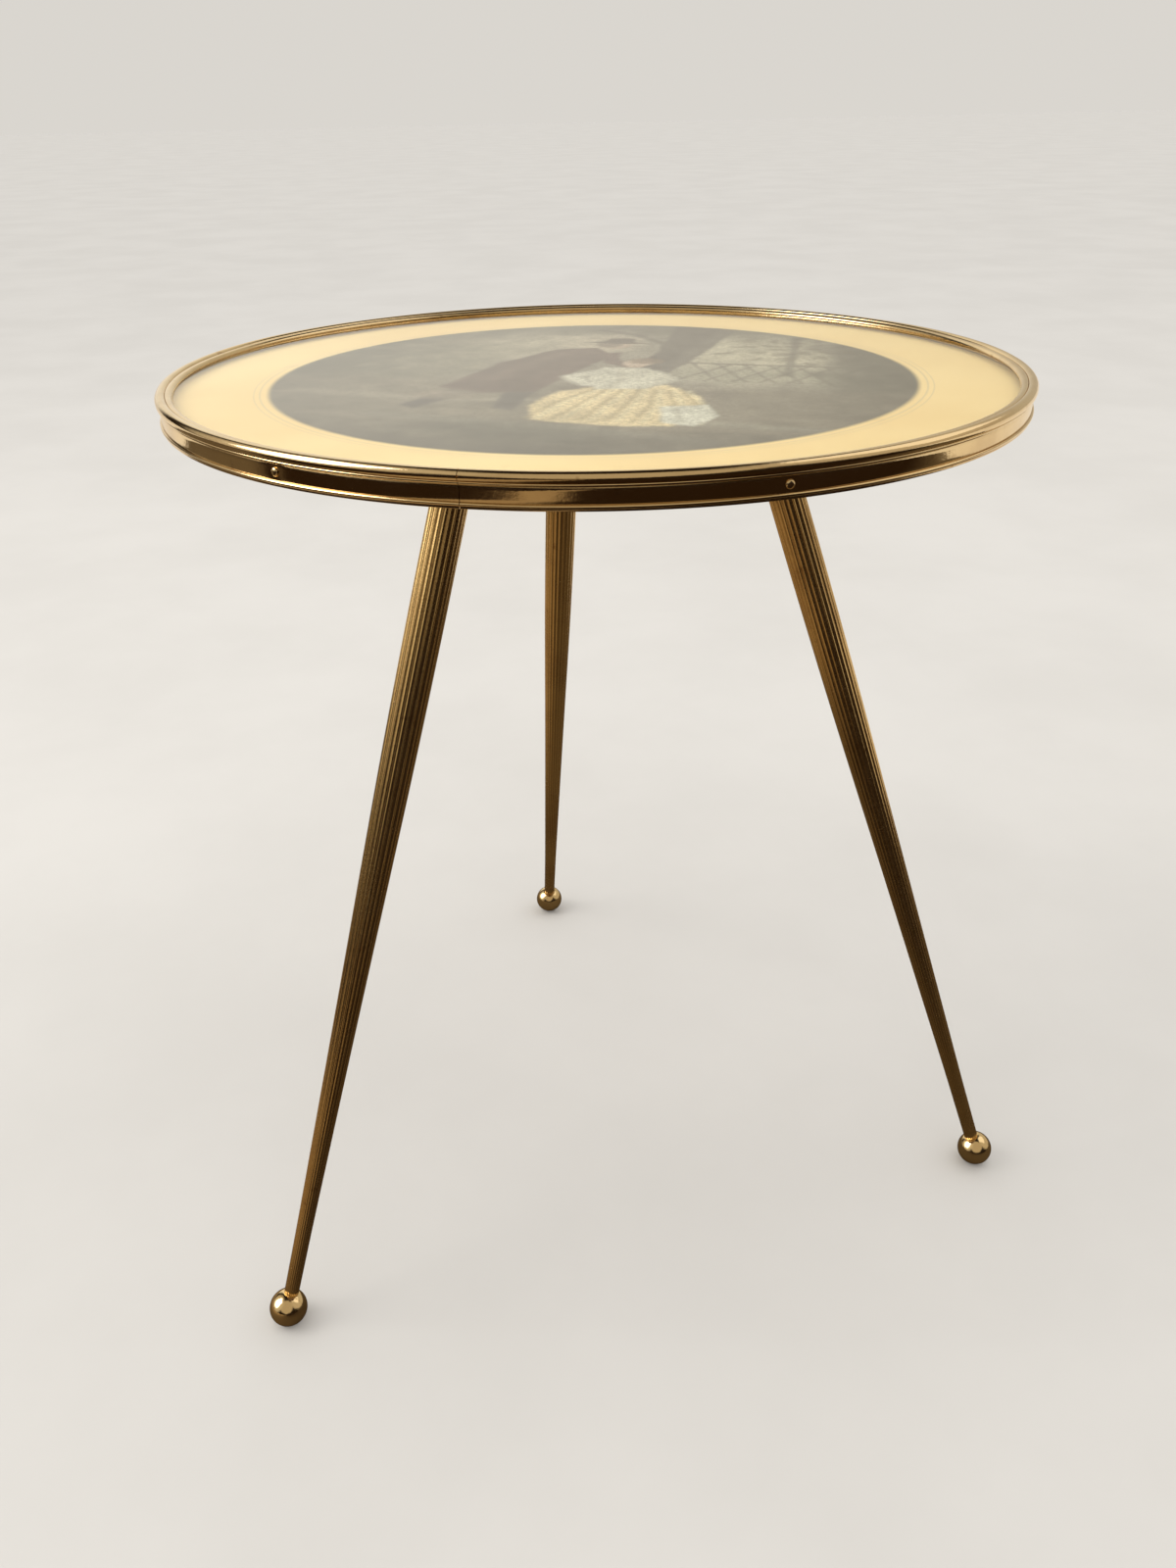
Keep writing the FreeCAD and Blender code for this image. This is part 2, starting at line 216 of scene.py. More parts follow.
def lathe_grid(outline, segments, start=0.0, sweep=2 * math.pi):
    """Vertices and quads of an outline of (radius, height) points turned about Z."""
    outline = np.array(outline)
    full = abs(sweep - 2 * math.pi) < 1e-9
    columns = segments if full else segments + 1
    angles = start + sweep * np.arange(columns) / segments
    rows = len(outline)
    vertices = np.empty((columns, rows, 3))
    vertices[:, :, 0] = outline[:, 0] * np.cos(angles)[:, None]
    vertices[:, :, 1] = outline[:, 0] * np.sin(angles)[:, None]
    vertices[:, :, 2] = outline[:, 1]
    faces = grid_faces(columns, rows, full)
    return vertices.reshape(-1, 3), faces


def grid_faces(columns, rows, closed, row_closed=False):
    """Quads of a column-by-row grid, joined round its columns or its rows where asked."""
    faces = []
    for i in range(columns if closed else columns - 1):
        near = i * rows
        far = ((i + 1) % columns) * rows
        for j in range(rows if row_closed else rows - 1):
            k = (j + 1) % rows
            faces.append((near + j, far + j, far + k, near + k))
    return faces


def value_noise(x, y, size, seed):
    """Smooth noise from 0 to 1 with features of the given size."""
    rng = np.random.default_rng(seed)
    lattice = rng.random((NOISE_CELLS, NOISE_CELLS))
    u = x / size + NOISE_SHIFT[0]
    v = y / size + NOISE_SHIFT[1]
    i = np.floor(u).astype(int)
    j = np.floor(v).astype(int)
    s = u - i
    t = v - j
    s = s * s * (3 - 2 * s)
    t = t * t * (3 - 2 * t)
    left, right = i % NOISE_CELLS, (i + 1) % NOISE_CELLS
    low, high = j % NOISE_CELLS, (j + 1) % NOISE_CELLS
    near = lattice[left, low] * (1 - s) + lattice[right, low] * s
    far = lattice[left, high] * (1 - s) + lattice[right, high] * s
    return near * (1 - t) + far * t


def layered_noise(x, y, size, seed, octaves=4):
    """Several sizes of value noise added up, from 0 to 1."""
    total = 0.0
    weight = 0.0
    for k in range(octaves):
        share = OCTAVE_SHARE**k
        total = total + share * value_noise(x, y, size / 2**k, seed + k)
        weight += share
    return total / weight


# ---------------------------------------------------------------- materials


def way_to(azimuth, elevation):
    """The direction at an azimuth from the far side, turning left, and an elevation."""
    turn = azimuth + PICTURE_TURN
    level = math.cos(elevation)
    return Vector((-math.sin(turn) * level, math.cos(turn) * level, math.sin(elevation)))


class Nodes:
    """A short way to add linked shader nodes to a material or the world."""

    def __init__(self, owner):
        owner.use_nodes = True
        self.tree = owner.node_tree
        self.tree.nodes.clear()

    def add(self, kind, inputs=None, **settings):
        """Adds a node, with each input set to a number or linked to a socket, and gives the node itself."""
        node = self.tree.nodes.new(kind)
        for key, value in settings.items():
            setattr(node, key, value)
        for key, value in (inputs or {}).items():
            if isinstance(value, bpy.types.NodeSocket):
                self.tree.links.new(value, node.inputs[key])
            else:
                node.inputs[key].default_value = value
        return node

    def math(self, operation, a, b=0.0, clamp=False):
        return self.add("ShaderNodeMath", {0: a, 1: b}, operation=operation, use_clamp=clamp).outputs[0]

    def mix(self, factor, a, b):
        node = self.add("ShaderNodeMix", {0: factor, 6: a, 7: b}, data_type="RGBA")
        return node.outputs[2]

    def ramp(self, value, low, high, to_low=0.0, to_high=1.0):
        inputs = {0: value, 1: low, 2: high, 3: to_low, 4: to_high}
        return self.add("ShaderNodeMapRange", inputs, interpolation_type="SMOOTHSTEP").outputs[0]

    def noise(self, vector, scale, detail=4.0, roughness=0.55):
        inputs = {"Vector": vector, "Scale": scale, "Detail": detail, "Roughness": roughness}
        return self.add("ShaderNodeTexNoise", inputs).outputs[0]

    def bump(self, height, strength, distance):
        inputs = {"Height": height, "Strength": strength, "Distance": distance}
        return self.add("ShaderNodeBump", inputs).outputs[0]

    def stretched(self, vector, scale):
        return self.add("ShaderNodeMapping", {"Vector": vector, "Scale": scale}).outputs[0]

    def along(self, vector, azimuth, elevation):
        """How far a vector reaches towards an azimuth and elevation."""
        inputs = {0: vector, 1: way_to(azimuth, elevation)}
        return self.add("ShaderNodeVectorMath", inputs, operation="DOT_PRODUCT").outputs["Value"]


def new_material(name):
    material = bpy.data.materials.new(name)
    nodes = Nodes(material)
    place = nodes.add("ShaderNodeTexCoord").outputs["Object"]
    return material, nodes, place


def finish_material(nodes, inputs):
    shader = nodes.add("ShaderNodeBsdfPrincipled", inputs)
    nodes.add("ShaderNodeOutputMaterial", {"Surface": shader.outputs[0]})
    return shader


def brass(name, clean, tarnish_and_shade_colour, tarnish_share, smooth, rough, bump=0.09, paint_recess_patina_and_shade=False):
    """Aged brass: cloudy tarnished patches, fine rubbed scratches, and, where asked, patina with painted
    shade in recesses: darker, duller brass where ambient occlusion would shade the surface.
    """
    material, nodes, place = new_material(name)
    cloud = nodes.noise(place, 22.0, 5.0, 0.6)
    fine = nodes.noise(place, 420.0, 3.0, 0.6)
    spots = nodes.noise(place, 130.0, 2.0, 0.5)
    patches = nodes.ramp(cloud, 0.42, 0.72, 0.0, tarnish_share)
    flecks = nodes.ramp(spots, 0.66, 0.74, 0.0, 0.35)
    tarnish_and_recess_shade = nodes.math("MAXIMUM", patches, flecks)
    # Recesses get patina and painted shade together: the recess value darkens and dulls the brass like
    # ambient occlusion.
    if paint_recess_patina_and_shade:
        recess_patina_and_shade = nodes.add("ShaderNodeAttribute", attribute_name="recess_patina_and_shade").outputs["Fac"]
        tarnish_and_recess_shade = nodes.math("ADD", tarnish_and_recess_shade, nodes.math("MULTIPLY", recess_patina_and_shade, 0.75), clamp=True)
    colour = nodes.mix(tarnish_and_recess_shade, clean, tarnish_and_shade_colour)
    rubbed = nodes.math("ADD", nodes.math("MULTIPLY", fine, 0.4), cloud)
    haze = nodes.ramp(rubbed, 0.35, 1.05, smooth, rough)
    roughness = nodes.math("ADD", haze, nodes.math("MULTIPLY", tarnish_and_recess_shade, 0.12), clamp=True)
    normal = nodes.bump(nodes.math("ADD", fine, nodes.math("MULTIPLY", cloud, 2.5)), bump, 0.0004)
    inputs = {"Base Color": colour, "Metallic": 1.0, "Roughness": roughness, "Normal": normal}
    finish_material(nodes, inputs)
    return material


def steel(name, clean, dirty, smooth, rough):
    """Plain or plated steel with grey stains."""
    material, nodes, place = new_material(name)
    cloud = nodes.noise(place, 60.0, 6.0, 0.65)
    fine = nodes.noise(place, 900.0, 2.0, 0.5)
    colour = nodes.mix(nodes.ramp(cloud, 0.45, 0.68), clean, dirty)
    roughness = nodes.ramp(cloud, 0.3, 0.75, smooth, rough)
    normal = nodes.bump(fine, 0.25, 0.0003)
    inputs = {"Base Color": colour, "Metallic": 0.9, "Roughness": roughness, "Normal": normal}
    finish_material(nodes, inputs)
    return material


def board_wood():
    """The board's bare underside: brown veneer with long grain, pores and old stains."""
    pale_wood, dark_wood = (0.30, 0.165, 0.075, 1), (0.13, 0.062, 0.026, 1)
    pore_brown, stain_brown = (0.05, 0.024, 0.01, 1), (0.09, 0.05, 0.026, 1)
    material, nodes, place = new_material("board_wood")
    long_grain = nodes.stretched(place, (3.0, 42.0, 42.0))
    pores = nodes.stretched(place, (40.0, 900.0, 900.0))
    figure = nodes.noise(long_grain, 1.6, 8.0, 0.62)
    pore = nodes.noise(pores, 1.0, 3.0, 0.6)
    stain = nodes.noise(place, 7.0, 3.0, 0.5)
    wood = nodes.mix(nodes.ramp(figure, 0.32, 0.7), pale_wood, dark_wood)
    wood = nodes.mix(nodes.ramp(pore, 0.56, 0.7, 0.0, 0.6), wood, pore_brown)
    wood = nodes.mix(nodes.ramp(stain, 0.45, 0.75, 0.0, 0.45), wood, stain_brown)
    roughness = nodes.ramp(figure, 0.2, 0.8, 0.55, 0.8)
    normal = nodes.bump(nodes.math("ADD", figure, nodes.math("MULTIPLY", pore, 0.6)), 0.3, 0.0006)
    finish_material(nodes, {"Base Color": wood, "Roughness": roughness, "Normal": normal})
    return material


def clear_glass():
    """Glass that lets light straight through and mirrors the room at low angles, from outside only."""
    material, nodes, _ = new_material("clear_glass")
    fresnel = nodes.add("ShaderNodeFresnel", {"IOR": 1.5}).outputs[0]
    outside = nodes.math("SUBTRACT", 1.0, nodes.add("ShaderNodeNewGeometry").outputs["Backfacing"])
    through = nodes.add("ShaderNodeBsdfTransparent", {"Color": (0.975, 0.99, 0.98, 1)}).outputs[0]
    mirror = nodes.add("ShaderNodeBsdfGlossy", {"Color": (1, 1, 1, 1), "Roughness": 0.0}).outputs[0]
    share = nodes.math("MULTIPLY", fresnel, outside)
    surface = nodes.add("ShaderNodeMixShader", {0: share, 1: through, 2: mirror}).outputs[0]
    nodes.add("ShaderNodeOutputMaterial", {"Surface": surface})
    return material


def print_paper():
    """Cream paper with a nearly round printed picture inside two fine ruled lines."""
    pale_paper, deep_paper = (0.91, 0.66, 0.30, 1), (0.83, 0.57, 0.23, 1)
    fox_brown, rule_grey, stipple_ink = (0.62, 0.38, 0.14, 1), (0.42, 0.36, 0.27, 1), (0.095, 0.078, 0.058, 1)
    material, nodes, place = new_material("print_paper")
    painted = nodes.add("ShaderNodeAttribute", attribute_name="painted").outputs["Color"]
    oval = nodes.add("ShaderNodeAttribute", attribute_name="oval").outputs["Fac"]
    grain = nodes.noise(place, 1500.0, 2.0, 0.5)
    stipple = nodes.noise(place, 420.0, 4.0, 0.75)
    mottle = nodes.noise(place, 9.0, 4.0, 0.6)
    foxing = nodes.noise(place, 60.0, 2.0, 0.5)
    paper = nodes.mix(nodes.ramp(mottle, 0.3, 0.75), pale_paper, deep_paper)
    paper = nodes.mix(nodes.ramp(foxing, 0.68, 0.78, 0.0, 0.22), paper, fox_brown)
    for centre, width in RULED_LINES:
        offset = nodes.math("ABSOLUTE", nodes.math("SUBTRACT", oval, centre))
        paper = nodes.mix(nodes.ramp(offset, width * 0.5, width, 0.35, 0.0), paper, rule_grey)
    ink = nodes.mix(nodes.ramp(stipple, 0.38, 0.64, 0.0, 0.42), painted, stipple_ink)
    colour = nodes.mix(nodes.ramp(oval, 0.985, 1.008), ink, paper)
    normal = nodes.bump(grain, 0.15, 0.0002)
    finish_material(nodes, {"Base Color": colour, "Roughness": 0.72, "Normal": normal})
    return material


# ---------------------------------------------------------------- the rim and what it holds

rim_low, rim_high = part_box("brass_rim")
RIM_OUTER = (rim_high.x - rim_low.x) / 2
RIM_TOP = rim_high.z
RIM_BASE = rim_low.z
GLASS_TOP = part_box("glass_top")[1].z
BAND_RADIUS = RIM_OUTER - BAND_INSET
PIN_Z = RIM_BASE + LOW_BEAD_RISE + LOW_BEAD_R + BAND_HEIGHT / 2


def rim_outline():
    """The rim's closed section as (radius, height, share of patina and painted shade, most in the creases),
    from its inner wall's foot out and up.
    """
    insets = (WALL_INSET, EDGE_INSET, GROOVE_INSET, LIP_INSET)
    wall, edge, groove, lip = (RIM_OUTER - inset for inset in insets)
    low_bead = (BAND_RADIUS + BEAD_PROUD - LOW_BEAD_R, RIM_BASE + LOW_BEAD_RISE)
    band_low = low_bead[1] + LOW_BEAD_R
    band_high = band_low + BAND_HEIGHT
    high_bead = (BAND_RADIUS + BEAD_PROUD - BEAD_R, band_high + BEAD_R)
    roll = (RIM_OUTER - ROLL_R, RIM_TOP - ROLL_R)
    groove_turn = math.degrees(math.acos((groove - roll[0]) / ROLL_R))
    groove_z = roll[1] + ROLL_R * math.sin(math.radians(groove_turn))
    foot_corner = (edge - FOOT_CORNER_R, RIM_BASE + FOOT_CORNER_R)

    points = [(wall, RIM_BASE, 0.5)]
    points += smooth_run(arc_points(foot_corner, FOOT_CORNER_R, -90, 0, 4))
    points.append((edge - CREASE, low_bead[1] - LOW_BEAD_R, 1.0))
    points += smooth_run(arc_points(low_bead, LOW_BEAD_R, -BEAD_TURN, BEAD_TURN, 11))
    points.append((BAND_RADIUS - CREASE / 2, band_low, 0.9))
    points += [(BAND_RADIUS, band_low + BAND_HEIGHT * t, 0.0) for t in (0.04, 0.25, 0.5, 0.75, 0.96)]
    points.append((BAND_RADIUS - CREASE / 2, band_high, 0.9))
    points += smooth_run(arc_points(high_bead, BEAD_R, -BEAD_TURN, BEAD_TURN, 11))
    points.append((BAND_RADIUS - CREASE, high_bead[1] + BEAD_R, 1.0))
    points += smooth_run(arc_points(roll, ROLL_R, ROLL_LOW_TURN, groove_turn - GROOVE_LEAD, 30))
    points.append((groove, groove_z - GROOVE_DEPTH, 1.0))
    lip_start = (groove - CREASE, groove_z)
    lip_bow = (groove - LIP_BOW_SHARE * (groove - lip), groove_z + LIP_BOW_RISE)
    lip_end = (lip, RIM_TOP - LIP_EDGE_DROP)
    points += smooth_run(bent_line(lip_start, lip_bow, lip_end, 14))
    points += [(lip, GLASS_TOP + LIP_GAP, 1.0), (wall, GLASS_TOP + LIP_GAP, 1.0)]
    return points


def smooth_run(points):
    """Section points on an open face, with no patina or painted shade."""
    return [(x, z, 0.0) for x, z in points]


def bent_line(start, bow, end, count):
    """Points on a curve pulled from a straight line towards a third point."""
    run = []
    for t in np.linspace(0, 1, count):
        near, middle, far = (1 - t) ** 2, 2 * t * (1 - t), t * t
        run.append(tuple(near * a + middle * b + far * c for a, b, c in zip(start, bow, end)))
    return run


def band_wave(angles):
    """How far the bent strip wanders in and out, and its dents round the pins."""
    wave = np.zeros(len(angles))
    for count, phase, share in ((7, 0.4, 0.9), (17, 1.9, 0.6), (31, 4.2, 0.5), (53, 2.7, 0.3)):
        wave += share * np.sin(count * angles + phase)
    return BAND_WAVE * wave


def pin_dents(angles, heights):
    """How far the flat band is pressed in round each pin, at each angle and height."""
    dents = np.zeros((len(angles), len(heights)))
    up = (np.array(heights) - PIN_Z)[None, :]
    for pin in PIN_AZIMUTHS:
        across = (np.angle(np.exp(1j * (angles - pin))) * BAND_RADIUS)[:, None]
        dents += PIN_DENT * np.exp(-(across**2 + up**2) / PIN_DENT_WIDTH**2)
    return dents


def brass_rim(material):
    """The bent strip, with its butt joint, slight waviness and a shallow dent round each pin."""
    outline = rim_outline()
    flat = [(x, z) for x, z, _ in outline]
    gap = JOINT_GAP / RIM_OUTER
    sweep = 2 * math.pi - gap
    start = JOINT_AZIMUTH + gap / 2
    vertices, _ = lathe_grid(flat, RIM_SEGMENTS, start, sweep)
    columns = RIM_SEGMENTS + 1
    rows = len(flat)
    angles = start + sweep * np.arange(columns) / RIM_SEGMENTS
    grid = vertices.reshape(columns, rows, 3)
    radius = np.hypot(grid[:, :, 0], grid[:, :, 1])
    band = np.array([1.0 if abs(x - BAND_RADIUS) < ON_BAND else 0.0 for x, _ in flat])
    wave = np.minimum(band_wave(angles), 0.0)
    inward = wave[:, None] * np.ones(rows) - pin_dents(angles, [z for _, z in flat]) * band
    moves = np.clip((radius - RIM_OUTER + WALL_INSET) / MOVE_FADE, 0.0, 1.0) * inward
    grid[:, :, :2] *= ((radius + moves) / radius)[:, :, None]
    faces = grid_faces(columns, rows, False, row_closed=True)
    last = (columns - 1) * rows
    faces.append(tuple(range(rows)))
    faces.append(tuple(last + j for j in reversed(range(rows))))
    piece = mesh_piece("rim_strip", grid.reshape(-1, 3), faces, material, "top", "brass_rim")
    # Patina with painted shade in the rim's creases, at its wall foot and under its lip.
    set_attribute(piece, "recess_patina_and_shade", np.tile([h for _, _, h in outline], columns))
    keep_edges_sharp(piece, 50.0)
    return piece


def rim_pins(material):
    """Six round-headed pins: domed heads on blunt shanks."""
    head = BAND_RADIUS
    tip = head - PIN_LENGTH
    outline = [(0.0, tip), (PIN_SHANK_R, tip + PIN_POINT), (PIN_SHANK_R, head)]
    outline += [(PIN_HEAD_R * 0.94, head), (PIN_HEAD_R, head + PIN_HEAD_EDGE)]
    dome = PIN_HEAD_RISE - PIN_DOME_TRIM
    for turn in np.linspace(0.1, 1.0, 9) * math.pi / 2:
        outline.append((PIN_HEAD_R * math.cos(turn), head + PIN_HEAD_EDGE + dome * math.sin(turn)))
    vertices, faces = lathe_grid(outline, 32)
    all_vertices = []
    all_faces = []
    for azimuth in PIN_AZIMUTHS:
        c, s = math.cos(azimuth), math.sin(azimuth)
        base = len(all_vertices)
        for x, y, z in vertices:
            all_vertices.append((z * c - x * s, z * s + x * c, y + PIN_Z))
        all_faces += [tuple(base + i for i in f) for f in faces]
    piece = mesh_piece("rim_pin_set", all_vertices, all_faces, material, "top", "rim_pins")
    merge_close(piece)
    keep_edges_sharp(piece, 50.0)
    return piece


def merge_close(piece, distance=0.000001):
    """Joins doubled points, such as those where a turned outline meets its axis."""
    work = bmesh.new()
    work.from_mesh(piece.data)
    bmesh.ops.remove_doubles(work, verts=work.verts, dist=distance)
    bmesh.ops.recalc_face_normals(work, faces=work.faces)
    work.to_mesh(piece.data)
    work.free()


def glass_sheet(material):
    """The glass, its lower edge rounded and its top edge bevelled under the rim's lip."""
    low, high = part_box("glass_top")
    radius = (high.x - low.x) / 2
    outline = [(0.0, low.z), (radius - GLASS_UNDER_RING, low.z)]
    outline += arc_points((radius - GLASS_ARRIS, low.z + GLASS_ARRIS), GLASS_ARRIS, -90, 0, 5)
    outline += [(radius, high.z - GLASS_ARRIS), (radius - GLASS_BEVEL, high.z), (0.0, high.z)]
    vertices, faces = lathe_grid(outline, 360)
    piece = mesh_piece("glass_sheet", vertices, faces, material, "top", "glass_top")
    merge_close(piece)
    keep_edges_sharp(piece, 3.0)
    return piece


# ---------------------------------------------------------------- the printed picture


class Painting:
    """Soft shapes laid over each other on a plane of points, back to front. Units are picture radii."""

    def __init__(self, x, y):
        self.x = x
        self.y = y
        self.wobble_x = layered_noise(x, y, 0.10, 11) - 0.5
        self.wobble_y = layered_noise(x, y, 0.10, 23) - 0.5
        self.colour = np.zeros((len(x), 3))

    def move_right(self, distance):
        """Shifts whatever is painted from now on."""
        self.x = self.x - distance

    def lay(self, mask, colour):
        """Blends a colour over the picture where the mask is."""
        mask = np.clip(mask, 0, 1)[:, None]
        self.colour = self.colour * (1 - mask) + np.array(colour) * mask

    def blob(self, centre, size, turn, colour, soft=0.3, strength=1.0, ragged=0.0):
        """A leaning ellipse with a soft edge."""
        a = math.radians(turn)
        x = self.x + ragged * self.wobble_x - centre[0]
        y = self.y + ragged * self.wobble_y - centre[1]
        u = (x * math.cos(a) + y * math.sin(a)) / size[0]
        v = (-x * math.sin(a) + y * math.cos(a)) / size[1]
        distance = np.hypot(u, v)
        self.lay(strength * smooth_step(1 + soft, 1 - soft, distance), colour)

    def shape(self, corners, colour, soft=0.012, strength=1.0, ragged=0.02):
        """A filled polygon with a soft, slightly wandering edge."""
        x = self.x + ragged * self.wobble_x
        y = self.y + ragged * self.wobble_y
        self.lay(strength * smooth_step(soft, -soft, polygon_distance(x, y, corners)), colour)

    def stroke(self, path, width, colour, soft=0.008, strength=1.0, ragged=0.015):
        """A brush line along a few points."""
        x = self.x + ragged * self.wobble_x
        y = self.y + ragged * self.wobble_y
        nearest = np.full(len(x), 9.0)
        for start, end in zip(path, path[1:]):
            nearest = np.minimum(nearest, segment_distance(x, y, start, end))
        self.lay(strength * smooth_step(width / 2 + soft, width / 2 - soft, nearest), colour)


def smooth_step(low, high, value):
    """0 at low, 1 at high, with an S curve between; low may be the larger."""
    t = np.clip((value - low) / (high - low), 0, 1)
    return t * t * (3 - 2 * t)


def segment_distance(x, y, start, end):
    dx, dy = end[0] - start[0], end[1] - start[1]
    t = np.clip(((x - start[0]) * dx + (y - start[1]) * dy) / (dx * dx + dy * dy + 1e-12), 0, 1)
    return np.hypot(x - start[0] - t * dx, y - start[1] - t * dy)


def polygon_distance(x, y, corners):
    """Distance to a polygon's outline, negative inside."""
    nearest = np.full(len(x), 9.0)
    inside = np.zeros(len(x), bool)
    for start, end in zip(corners, corners[1:] + corners[:1]):
        nearest = np.minimum(nearest, segment_distance(x, y, start, end))
        crosses = (start[1] > y) != (end[1] > y)
        slope = (end[0] - start[0]) / ((end[1] - start[1]) or 1e-12)
        inside ^= crosses & (x < start[0] + (y - start[1]) * slope)
    return np.where(inside, -nearest, nearest)


# Colours of the print, back to front
CLOUD_RANGE = (0.14, 0.12, 0.09)
CLOUD_BASE = (0.23, 0.20, 0.15)
PALE_SKY = (0.42, 0.36, 0.26)
WARM_SKY = (0.52, 0.43, 0.31)
FAR_SKY = (0.50, 0.44, 0.31)
FIELD = (0.34, 0.31, 0.22)
LATTICE_WOOD = (0.19, 0.16, 0.12)
RAIL_WOOD = (0.17, 0.145, 0.11)
POST_WOOD = (0.16, 0.14, 0.105)
LEAF_DARK = (0.125, 0.112, 0.080)
LEAF_MID = (0.205, 0.180, 0.128)
LEAF_LIGHT = (0.30, 0.265, 0.18)
LEAF_BROWN = (0.15, 0.12, 0.085)
BARK = (0.125, 0.105, 0.085)
BARK_LIGHT = (0.19, 0.165, 0.13)
BRANCH = (0.13, 0.11, 0.085)
EARTH = (0.205, 0.170, 0.122)
DRY_EARTH = (0.31, 0.255, 0.18)
PATH = (0.33, 0.28, 0.205)
PATH_LIGHT = (0.36, 0.32, 0.24)
PATH_DIM = (0.23, 0.205, 0.155)
SHADOW = (0.10, 0.095, 0.07)
FRONT_SHADE = (0.11, 0.10, 0.078)
COAT = (0.135, 0.085, 0.068)
COAT_LIGHT = (0.185, 0.12, 0.095)
SLEEVE = (0.16, 0.10, 0.08)
NEAR_BOOT = (0.10, 0.085, 0.075)
FAR_BOOT = (0.11, 0.095, 0.082)
HAT = (0.115, 0.09, 0.07)
HAND = (0.50, 0.35, 0.25)
WALKER_FACE = (0.50, 0.36, 0.26)
WALKER_HAIR = (0.20, 0.15, 0.11)
BUNDLE = (0.30, 0.235, 0.17)
STRAW = (0.74, 0.57, 0.31)
STRAW_DARK = (0.36, 0.27, 0.13)
STRAW_LIGHT = (0.72, 0.62, 0.38)
BLOUSE = (0.60, 0.55, 0.43)
LEFT_SLEEVE = (0.63, 0.58, 0.46)
RIGHT_SLEEVE = (0.58, 0.53, 0.41)
BLOUSE_FOLD = (0.42, 0.37, 0.28)
SITTER_FACE = (0.56, 0.41, 0.30)
SITTER_HAIR = (0.24, 0.16, 0.10)
CLOTH = (0.66, 0.62, 0.50)
CLOTH_FOLD = (0.40, 0.36, 0.27)
GOLDEN_ANGLE = 2.39996


def paint_scene(x, y):
    """A plain country scene in faded print colours: trees, a fence, a path and two resting walkers."""
    art = Painting(x, y)
    clouds = layered_noise(x, y, 0.55, 3)
    art.colour = np.outer(clouds, CLOUD_RANGE) + CLOUD_BASE
    for paint in (paint_distance, paint_trees, paint_ground, paint_walker, paint_sitter):
        paint(art)
    shade = 0.66 + 0.68 * layered_noise(x, y, 0.06, 91, 4)
    vignette = 1.0 - 0.28 * smooth_step(0.62, 1.05, np.hypot(x, y))
    return np.clip(art.colour * (shade * vignette)[:, None], 0, 1)


def paint_distance(art):
    """Light sky between the trees, a far field, and a lattice fence at the right."""
    art.blob((-0.30, 0.52), (0.26, 0.30), 20, PALE_SKY, 0.5, 0.8, 0.25)
    art.blob((-0.12, 0.60), (0.12, 0.18), -25, WARM_SKY, 0.5, 0.75, 0.2)
    art.blob((0.46, 0.42), (0.24, 0.42), 4, FAR_SKY, 0.35, 0.9, 0.15)
    art.blob((0.52, 0.10), (0.28, 0.14), 0, FIELD, 0.4, 0.8, 0.2)
    for k in range(6):
        foot = 0.27 + 0.085 * k
        head = foot + 0.13
        art.stroke([(foot, -0.02), (head, 0.26)], 0.013, LATTICE_WOOD, 0.008, 0.8)
        art.stroke([(head, -0.02), (foot, 0.26)], 0.013, LATTICE_WOOD, 0.008, 0.8)
    art.stroke([(0.24, 0.27), (0.82, 0.25)], 0.022, RAIL_WOOD, 0.01, 0.85)
    art.stroke([(0.60, 0.10), (0.56, 0.80)], 0.030, POST_WOOD, 0.012, 0.8)


def paint_trees(art):
    """Leaf masses to both sides, and a leaning trunk a little right of the middle."""
    leaves = layered_noise(art.x, art.y, 0.16, 41) - 0.5
    art.lay(smooth_step(-0.30, -0.62, art.x + 0.35 * leaves) * 0.9, LEAF_MID)
    art.lay(smooth_step(-0.52, -0.85, art.x + 0.5 * leaves) * 0.85, LEAF_DARK)
    art.lay(smooth_step(0.62, 0.86, art.x + 0.4 * leaves) * 0.9, LEAF_DARK)
    art.lay(smooth_step(0.66, 0.92, art.y + 0.45 * leaves) * 0.75, LEAF_MID)
    trunk = [(0.10, 0.98), (0.33, 0.98), (0.28, 0.45), (0.20, -0.06), (0.06, -0.06), (0.12, 0.45)]
    art.shape(trunk, BARK)
    art.stroke([(0.30, 0.95), (0.245, 0.45), (0.18, 0.0)], 0.045, BARK_LIGHT, 0.03, 0.7)
    art.stroke([(0.16, 0.55), (-0.02, 0.78), (-0.16, 0.86)], 0.035, BRANCH, 0.015, 0.8)
    for k in range(26):
        turn = GOLDEN_ANGLE * k
        reach = 0.10 + 0.016 * k
        degrees = 57 * turn
        spot = (-0.62 + reach * 0.7 * math.cos(turn), 0.36 + reach * 0.9 * math.sin(turn))
        art.blob(spot, (0.045, 0.03), degrees, LEAF_LIGHT, 0.6, 0.45, 0.1)
        spot = (0.60 + reach * 0.55 * math.cos(turn), 0.56 + reach * 0.6 * math.sin(turn))
        art.blob(spot, (0.034, 0.024), degrees, LEAF_BROWN, 0.6, 0.6, 0.1)


